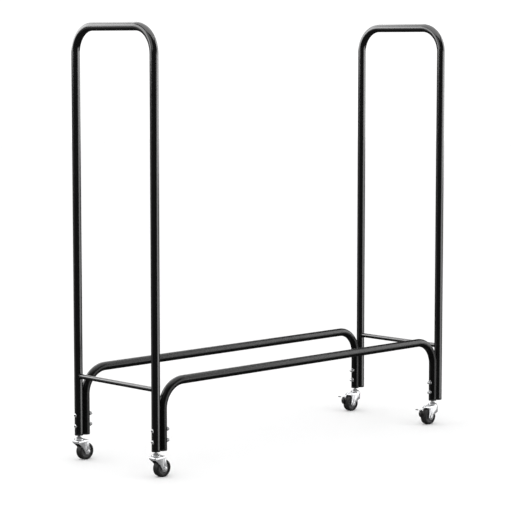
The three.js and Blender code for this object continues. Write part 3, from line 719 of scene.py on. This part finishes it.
def make_fasteners():
    """The bolts, washers, cap nuts and leg plugs of all four corners."""
    bolt = button_bolt()
    nut = cap_nut()
    ring = washer(BOLT_RADIUS + BORE_CLEARANCE, WASHER_RADIUS, WASHER_THICKNESS)
    plug = leg_plug()
    for corner, (x, y, _) in CORNERS.items():
        side = 1 if x > 0 else -1
        outward = Matrix.Rotation(side * math.pi / 2, 4, "Y")
        inward = Matrix.Rotation(-side * math.pi / 2, 4, "Y")
        for level, z in BOLT_HEIGHTS.items():
            seat = Matrix.Translation((side * BOLT_SEAT_X * MM, y * MM, z * MM))
            spin = Matrix.Rotation(math.radians(BOLT_SPIN[level]), 4, "Z")
            copied(bolt, seat @ outward @ spin, f"{corner}_{level}_button_bolt", "bright_zinc", "frame",
                   [f"{corner}_{level}_bolt"])
            seat = Matrix.Translation((side * NUT_SEAT_X * MM, y * MM, z * MM))
            copied(ring, seat @ inward, f"{corner}_{level}_washer", "bright_zinc", "frame")
            lift = Matrix.Translation((0, 0, WASHER_THICKNESS * MM))
            spin = Matrix.Rotation(math.radians(NUT_SPIN[level]), 4, "Z")
            copied(nut, seat @ inward @ lift @ spin, f"{corner}_{level}_domed_nut", "bright_zinc", "frame",
                   [f"{corner}_{level}_cap_nut"])
        for leg, place in (("hoop", HOOP_X), ("rail", RAIL_LEG_X)):
            stand = Matrix.Translation((side * place * MM, y * MM, 0))
            copied(plug, stand, f"{corner}_{leg}_leg_plug", "black_plastic", "frame",
                   [f"{corner}_{leg}_plug"])
    discard([bolt, nut, ring, plug])


# ---------------------------------------------------------------- casters

def sheet_body(kind, inset):
    """The space inside or outside the yoke's sheet: a block with rounded front corners and top edges."""
    front = YOKE_FRONT + inset
    top = YOKE_TOP - inset
    half = YOKE_HALF_WIDTH - inset
    piece = block((front, -half, YOKE_BLANK_FOOT), (YOKE_BLANK_END, half, top))
    edit(piece)

    def is_front_corner(a, b):
        return a.x < 0 and b.x < 0 and abs(a.z - b.z) > 1

    choose(piece, "EDGE", is_front_corner)
    bpy.ops.mesh.bevel(offset=(CORNER_RADIUS[kind] - inset) * MM, segments=10, affect="EDGES")

    def is_top_rim(a, b):
        return min(a.z, b.z) > top - 0.01 and min(a.x, b.x) < YOKE_BLANK_END - 1

    choose(piece, "EDGE", is_top_rim)
    bpy.ops.mesh.bevel(offset=(TOP_EDGE_RADIUS - inset) * MM, segments=5, affect="EDGES")
    return leave_edit()


def yoke_outline(kind):
    """The yoke seen from its side: plate, apron, legs and, on a braked caster, the ears of the pin."""
    apron = APRON_END[kind]
    front_top = (YOKE_FRONT + SHEET, apron)
    leg_front = (AXLE_X - LEG_END_RADIUS, AXLE_Z)
    middle = ((front_top[0] + leg_front[0]) / 2 + LEG_SWEEP, (apron + AXLE_Z) / 2 + LEG_SWEEP)
    edge = []
    for step in range(1, 10):
        t = step / 10
        edge.append(tuple((1 - t) ** 2 * a + 2 * t * (1 - t) * m + t * t * b
                          for a, m, b in zip(front_top, middle, leg_front)))
    foot = arc(AXLE_X, AXLE_Z, LEG_END_RADIUS, 180, 360, 20)
    outline = [(YOKE_FRONT - 1, YOKE_TOP + 1), (YOKE_FRONT - 1, apron), front_top, *edge, *foot]
    if kind == "braked":
        outline += [(AXLE_X + LEG_END_RADIUS - 2.2, PIVOT_Z - 9)]
        outline += arc(PIVOT_X, PIVOT_Z, EAR_RADIUS, -50, 90, 10)
        outline += [(YOKE_REAR, PIVOT_Z + EAR_RADIUS), (YOKE_REAR, YOKE_TOP + 1)]
    else:
        outline += [(YOKE_NECK, LEG_TOP), (YOKE_REAR, LEG_TOP), (YOKE_REAR, YOKE_TOP + 1)]
    return outline


def leg_bead(side):
    """The raised bead pressed into a leg, from under the plate down to the axle's head."""
    foot = side * (YOKE_HALF_WIDTH - LEG_BEAD_ROOT)
    crest = side * (YOKE_HALF_WIDTH + LEG_BEAD_HEIGHT)
    half = LEG_BEAD_WIDTH / 2
    low, high = LEG_BEAD_Z
    piece = block((AXLE_X - half, min(foot, crest), low), (AXLE_X + half, max(foot, crest), high))
    edit(piece)
    choose(piece, "EDGE", lambda a, b: abs(a.y - b.y) > 0.5)
    bpy.ops.mesh.bevel(offset=(half - 0.1) * MM, segments=8, affect="EDGES")
    choose(piece, "EDGE", lambda a, b: abs(a.y - crest) < 0.01 and abs(b.y - crest) < 0.01)
    bpy.ops.mesh.bevel(offset=(LEG_BEAD_HEIGHT - 0.2) * MM, segments=3, affect="EDGES")
    return leave_edit()


def yoke(kind):
    """A pressed yoke, plain or braked, with the race on its plate and the beads in its legs."""
    shell = combine(sheet_body(kind, 0), sheet_body(kind, SHEET), "DIFFERENCE")
    reach = YOKE_HALF_WIDTH + 6
    combine(shell, extruded(yoke_outline(kind), -reach, reach), "INTERSECT")
    soften(shell, width=0.3)
    race = turned([(RACE_RADIUS, RACE_Z[0] - 0.5), (RACE_RADIUS, RACE_Z[0] + 0.5),
                   *arc(RACE_RADIUS - 2, RACE_Z[1] - 1.3, 1.3, 20, 90, 5), (STEM_RADIUS + 1, RACE_Z[1]),
                   (STEM_RADIUS + 1, RACE_Z[0] - 0.5)], sides=64, ring=True)
    combine(shell, race, "UNION")
    for side in (-1, 1):
        combine(shell, leg_bead(side), "UNION")

    # The faces inside the fork are painted dark: painted shade between the legs
    heart = Vector((AXLE_X / 2, 0, (AXLE_Z + YOKE_TOP) / 2))

    def is_inside(middle, normal):
        return middle.z < RACE_Z[0] - SHEET / 2 and normal.dot(heart - middle) > 0

    return paint_shade(shell, is_inside)


def tyre():
    """The tyre about Y."""
    shoulder = TYRE_SHOULDER
    half = WHEEL_HALF_WIDTH
    top = arc(WHEEL_RADIUS - shoulder, half - shoulder, shoulder, 0, 80, 7)
    low = [(radius, -height) for radius, height in reversed(top)]
    wall = TYRE_BORE + 0.6
    profile = [(TYRE_BORE, -half + 0.7), (wall, -half + 0.1), *low,
               *top, (wall, half - 0.1), (TYRE_BORE, half - 0.7)]
    return turn(turned(profile, sides=96, ring=True), LAID)


def hub():
    """The wheel's hub about Y: rim, web and boss."""
    rim = HUB_HALF_WIDTH
    web = WEB_HALF_WIDTH
    boss = BOSS_HALF_WIDTH
    upper = [(HUB_RADIUS, rim - 0.4), (HUB_RADIUS - 0.4, rim), (HUB_RIM_INNER + 0.4, rim),
             (HUB_RIM_INNER, rim - 0.4), (HUB_RIM_INNER - 0.6, web + 0.8), (HUB_RIM_INNER - 1.4, web),
             (BOSS_RADIUS + 1.4, web), (BOSS_RADIUS + 0.5, web + 0.9), (BOSS_RADIUS, boss - 0.5),
             (BOSS_RADIUS - 0.5, boss), (HUB_BORE, boss)]
    lower = [(radius, -height) for radius, height in reversed(upper)]
    return turn(turned([*upper, *lower], sides=72, ring=True), LAID)


def axle_bolt():
    """The axle about Y: a socket head at +Y and a thread that ends past the nut at -Y."""
    top = AXLE_SEAT + AXLE_HEAD_HEIGHT
    dome = arc(AXLE_HEAD_RADIUS - 0.7, top - 0.7, 0.7, 0, 90, 5)
    profile = [(AXLE_RADIUS, -AXLE_SEAT + 0.5), (AXLE_RADIUS, AXLE_SEAT), (AXLE_HEAD_RADIUS - 0.2, AXLE_SEAT),
               (AXLE_HEAD_RADIUS, AXLE_SEAT + 0.2), *dome]
    piece = turned(profile, sides=48)
    corner = SOCKET_ACROSS_FLATS / math.sqrt(3)
    combine(piece, turned([(corner, top - AXLE_SOCKET_DEPTH), (corner, top + 1)], sides=6), "DIFFERENCE")
    end = threaded(AXLE_RADIUS, AXLE_SEAT - 1, AXLE_END, AXLE_PITCH, AXLE_TURNS)
    join(piece, turn(end, Matrix.Rotation(math.pi, 4, "X")))
    return turn(piece, LAID.inverted())


def bored(piece, radius, bottom, top):
    """Drills a piece along Z, from below its bottom to above its top."""
    return combine(piece, turned([(radius, bottom - 1), (radius, top + 1)], sides=48), "DIFFERENCE")


def axle_nut():
    """The axle's nut about Y, seated on the yoke's leg at -Y."""
    low = AXLE_SEAT
    high = AXLE_SEAT + AXLE_NUT_HEIGHT
    piece = hexagon(AXLE_NUT_ACROSS_FLATS, low, high, False)
    bored(piece, AXLE_RADIUS + THREAD_CLEARANCE, low, high)
    return turn(piece, LAID)


def swivel_cup():
    """The pressed cup over the swivel's balls."""
    low, high = CUP_Z
    hole = STEM_RADIUS + BORE_CLEARANCE
    skirt = CUP_RADIUS - CUP_SHEET
    outside = [(CUP_RADIUS, low), (CUP_RADIUS, low + 0.6), *arc(CUP_RADIUS - 1.6, low + 1.2, 1.5, 10, 70, 4),
               *arc(CUP_TOP_RADIUS + 0.6, high - 0.9, 0.9, 60, 90, 3)]
    inside = [(hole, high), (hole, high - CUP_SHEET), (CUP_TOP_RADIUS, high - CUP_SHEET),
              (CUP_RADIUS - 2.4, low + 0.9), (skirt, low + 0.3), (skirt, low)]
    return turned([*outside, *inside], sides=64, ring=True)


def stem():
    """The caster's threaded stem and the spread head under the yoke."""
    low, high = STEM_HEAD_Z
    profile = [(STEM_HEAD_RADIUS - 0.6, low), (STEM_HEAD_RADIUS, low + 0.6), (STEM_HEAD_RADIUS, high - 0.2),
               (STEM_HEAD_RADIUS - 0.2, high), (STEM_RADIUS, high), (STEM_RADIUS, STEM_NUT_Z[0] + 1)]
    head = turned(profile, sides=48)
    rod = threaded(STEM_RADIUS, STEM_NUT_Z[0], STEM_TOP, STEM_PITCH, STEM_TURNS)
    return join(head, rod)


def stem_nut():
    """The nut on the stem, just above the cup."""
    piece = hexagon(STEM_NUT_ACROSS_FLATS, *STEM_NUT_Z, True)
    bored(piece, STEM_RADIUS + THREAD_CLEARANCE, *STEM_NUT_Z)
    # The nut's flats are painted darker: a painted dark reflection and shade
    return paint_shade(piece, lambda middle, normal: abs(normal.z) < 0.5, amount=0.45)


def bearing_balls():
    """The ring of balls between the cup and the yoke's race."""
    balls = []
    for place in range(BALL_COUNT):
        bpy.ops.object.select_all(action="DESELECT")
        bpy.ops.mesh.primitive_ico_sphere_add(subdivisions=2, radius=BALL_RADIUS * MM)
        ball = bpy.context.object
        angle = 2 * math.pi * place / BALL_COUNT
        x = BALL_RING_RADIUS * math.cos(angle) * MM
        y = BALL_RING_RADIUS * math.sin(angle) * MM
        ball.location = (x, y, BALL_Z * MM)
        balls.append(settle(ball))
    return join(*balls)


def lever():
    """The brake's barrel and the bent strip that is pressed by foot."""
    end = BARREL_HALF_WIDTH
    barrel = turned([(BARREL_RADIUS - 0.3, -end), (BARREL_RADIUS, 0.3 - end),
                     (BARREL_RADIUS, end - 0.3), (BARREL_RADIUS - 0.3, end)], sides=32)
    turn(barrel, ON_PIN)
    half = LEVER_SHEET / 2
    knee = Vector(KNEE)
    start = Vector((PIVOT_X, PIVOT_Z))
    tip = Vector(TIP)
    down = (knee - start).normalized()
    out = (tip - knee).normalized()
    up_down = Vector((-down.y, down.x)) * half
    up_out = Vector((-out.y, out.x)) * half
    bend = KNEE_BEND
    crest = (up_down + up_out) * KNEE_FULLNESS
    outline = [start + up_down, knee + up_down - down * bend, knee + crest, knee + up_out + out * bend,
               tip + up_out, tip - up_out, knee - up_out + out * bend, knee - crest,
               knee - up_down - down * bend, start - up_down]
    strip = extruded(outline, LEVER_Y - LEVER_WIDTH / 2, LEVER_Y + LEVER_WIDTH / 2)
    soften(strip, width=0.25)
    return combine(barrel, strip, "UNION")


def lever_sleeve():
    """The dipped plastic sleeve on the tip of the lever."""
    knee = Vector(KNEE)
    out = (Vector(TIP) - knee).normalized()
    middle_x = sum(SLEEVE_X) / 2
    middle_z = KNEE[1] + (middle_x - KNEE[0]) * out.y / out.x
    half = Vector((SLEEVE_X[1] - SLEEVE_X[0], SLEEVE_WIDTH, SLEEVE_HEIGHT - 1)) / 2
    piece = block(-half, half)
    edit(piece)
    bpy.ops.mesh.bevel(offset=SLEEVE_EDGE * MM, segments=5, affect="EDGES")
    leave_edit()
    tilt = Matrix.Rotation(-math.atan2(out.y, out.x), 4, "Y")
    return turn(piece, Matrix.Translation((middle_x * MM, LEVER_Y * MM, middle_z * MM)) @ tilt)


def brake_shoe():
    """The block behind the tyre: close to the tread at its foot, thicker as it rises to the lever's knee."""
    back = []
    steps = 18
    for step in range(steps + 1):
        angle = SHOE_TOP_ANGLE * step / steps
        flare = math.sin(math.pi / 2 * min(1, angle / SHOE_FLARE_ANGLE))
        radius = SHOE_FOOT_RADIUS + (SHOE_TOP_RADIUS - SHOE_FOOT_RADIUS) * flare + SHOE_THICKNESS
        back.append(arc(AXLE_X, AXLE_Z, radius, angle, angle, 1)[0])
    front = arc(AXLE_X, AXLE_Z, SHOE_FOOT_RADIUS, 0, SHOE_FACE_ANGLE, 10)
    fall = (KNEE[1] - PIVOT_Z) / (KNEE[0] - PIVOT_X)

    def under_lever(x):
        return x, PIVOT_Z + (x - PIVOT_X) * fall - LEVER_SHEET / 2 - SHOE_TOP_GAP

    outline = [*back, under_lever(back[-1][0]), under_lever(front[-1][0]), *reversed(front)]
    piece = extruded(outline, LEVER_Y - SHOE_WIDTH / 2, LEVER_Y + SHOE_WIDTH / 2)
    return soften(piece, width=0.35, angle=50)


def pin():
    """The pin of the brake lever, about Y, with a spread head at each end."""
    low, high = PIN_HEAD_Y
    end = [(PIN_RADIUS, low), (PIN_HEAD_RADIUS, low), *arc(PIN_HEAD_RADIUS - 0.6, high - 0.6, 0.6, 0, 90, 4)]
    profile = [*[(radius, -height) for radius, height in reversed(end)], *end]
    return turn(turned(profile, sides=32), ON_PIN)


def make_casters():
    """The four casters. The two at the right have a brake."""
    wheel_place = Matrix.Translation((AXLE_X * MM, 0, AXLE_Z * MM))
    everywhere = [
        (stem(), "threaded_stem", "bright_zinc", "frame", "stem"),
        (stem_nut(), "stem_nut", "bright_zinc", "frame", None),
        (swivel_cup(), "pressed_cup", "bright_zinc", "frame", "swivel_cup"),
        (bearing_balls(), "bearing_balls", "bright_zinc", "frame", None),
        (turn(tyre(), wheel_place), "rounded_tyre", "dark_rubber", "wheel", "tyre"),
        (turn(hub(), wheel_place), "moulded_hub", "grey_plastic", "wheel", "wheel_hub"),
        (turn(axle_bolt(), wheel_place), "axle_bolt", "bright_zinc", "fork", "axle"),
        (turn(axle_nut(), wheel_place), "axle_nut", "bright_zinc", "fork", None),
    ]
    plain = [(yoke("plain"), "pressed_yoke", "bright_zinc", "fork", "yoke")]
    braked = [
        (yoke("braked"), "pressed_yoke", "bright_zinc", "fork", "yoke"),
        (lever(), "bent_lever", "bright_zinc", "brake", "brake_lever"),
        (pin(), "brake_pin", "bright_zinc", "fork", None),
        (lever_sleeve(), "dipped_sleeve", "black_plastic", "brake", "brake_sleeve"),
        (brake_shoe(), "curved_shoe", "black_plastic", "brake", "brake_shoe"),
    ]
    for corner, (x, y, heading) in CORNERS.items():
        stand = Matrix.Translation((x * MM, y * MM, 0)) @ Matrix.Rotation(heading, 4, "Z")
        for pattern, name, slot, body, node in everywhere + (braked if x > 0 else plain):
            on = body if body == "frame" else f"{corner}_{body}"
            nodes = [f"{corner}_{node}"] if node else []
            copied(pattern, stand, f"{corner}_{name}", slot, on, nodes)
    discard(pattern for pattern, *_ in everywhere + plain + braked)


make_frame()
make_fasteners()
make_casters()


# ---------------------------------------------------------------- camera, floor and light

EYE = Vector((-4.363, -4.422, 1.2201))
HEADING = math.radians(44.306)
TILT = math.radians(5.97)
LENS = 143.83
SENSOR = 36
CART_MIDDLE = Vector((0, 0, 0.6))
FLOOR_SIZE = 30
WORLD_FOR_MATT = 1.12
WORLD_FOR_GLOSS = 0.05


def make_camera():
    """The camera at the photograph's viewing angle."""
    camera = bpy.data.objects.new("camera", bpy.data.cameras.new("camera"))
    bpy.context.collection.objects.link(camera)
    camera.location = EYE
    camera.rotation_euler = (math.pi / 2 - TILT, 0, -HEADING)
    camera.data.lens = LENS
    camera.data.sensor_width = SENSOR
    bpy.context.scene.camera = camera


def make_floor():
    """A pale floor. The gloss of the cart doesn't mirror it, so that the side panels reach below it."""
    bpy.ops.object.select_all(action="DESELECT")
    bpy.ops.mesh.primitive_plane_add(size=FLOOR_SIZE)
    floor = bpy.context.object
    floor.name = "pale_floor"
    floor.visible_glossy = False
    finish = Finish("pale_floor", Roughness=0.9, Specular_IOR_Level=0.1)
    shade = finish.mix(finish.noise(400, detail=3), (0.93, 0.93, 0.93), (0.95, 0.95, 0.95))
    finish.drive("Base Color", shade)
    floor.data.materials.append(finish.material)


def panel(name, turn, distance, height, size, radiance, mirrored_only=True, upright=False):
    """A soft panel that faces the cart, at a turn in degrees, anticlockwise from the camera's side.

    An upright one doesn't tilt towards the middle of the cart. One that is mirrored only is seen in
    the gloss and lights nothing that is matt.
    """
    toward_camera = Vector((EYE.x, EYE.y, 0)).normalized()
    toward_panel = Matrix.Rotation(math.radians(turn), 3, "Z") @ toward_camera
    light = bpy.data.lights.new(name, "AREA")
    light.shape = "RECTANGLE"
    light.size = size[0]
    light.size_y = size[1]
    light.energy = radiance * math.pi * size[0] * size[1]
    lamp = bpy.data.objects.new(name, light)
    bpy.context.collection.objects.link(lamp)
    lamp.location = CART_MIDDLE + toward_panel * distance + Vector((0, 0, height))
    aim = -toward_panel if upright else CART_MIDDLE - lamp.location
    lamp.rotation_euler = aim.to_track_quat("-Z", "Y").to_euler()
    lamp.visible_camera = False
    lamp.visible_diffuse = not mirrored_only


def make_world():
    """White to the camera, bright to matt surfaces, and nearly black where gloss mirrors it."""
    world = bpy.data.worlds.new("studio")
    bpy.context.scene.world = world
    world.use_nodes = True
    studio = Nodes(world.node_tree)
    mirrored = studio.node("ShaderNodeLightPath", output="Is Glossy Ray")
    level = WORLD_FOR_MATT - (WORLD_FOR_MATT - WORLD_FOR_GLOSS) * mirrored
    light = studio.node("ShaderNodeBackground", {}, {"Color": (1, 1, 1, 1), "Strength": level})
    studio.node("ShaderNodeOutputWorld", {}, {"Surface": light})


def make_light():
    make_world()
    panel("right_panel", turn=78, distance=5, height=-0.4, size=(4.6, 2.6), radiance=2.1)
    panel("right_high_panel", turn=114, distance=5, height=2, size=(4.6, 4), radiance=3.2, upright=True)
    panel("left_panel", turn=-95, distance=5, height=-0.4, size=(3.2, 2.6), radiance=0.32)
    panel("left_high_panel", turn=-92, distance=4, height=1.9, size=(5, 2.6), radiance=3.2, upright=True)
    panel("back_panel", turn=-140, distance=3, height=2.18, size=(6.4, 3), radiance=2, upright=True)
    panel("overhead_panel", turn=180, distance=0.3, height=2.9, size=(5, 4.6), radiance=1.8)
    panel("soft_key", turn=-35, distance=3.4, height=1.9, size=(2, 2), radiance=1, mirrored_only=False)
    bpy.context.scene.view_settings.view_transform = "Standard"


make_camera()
make_floor()
make_light()
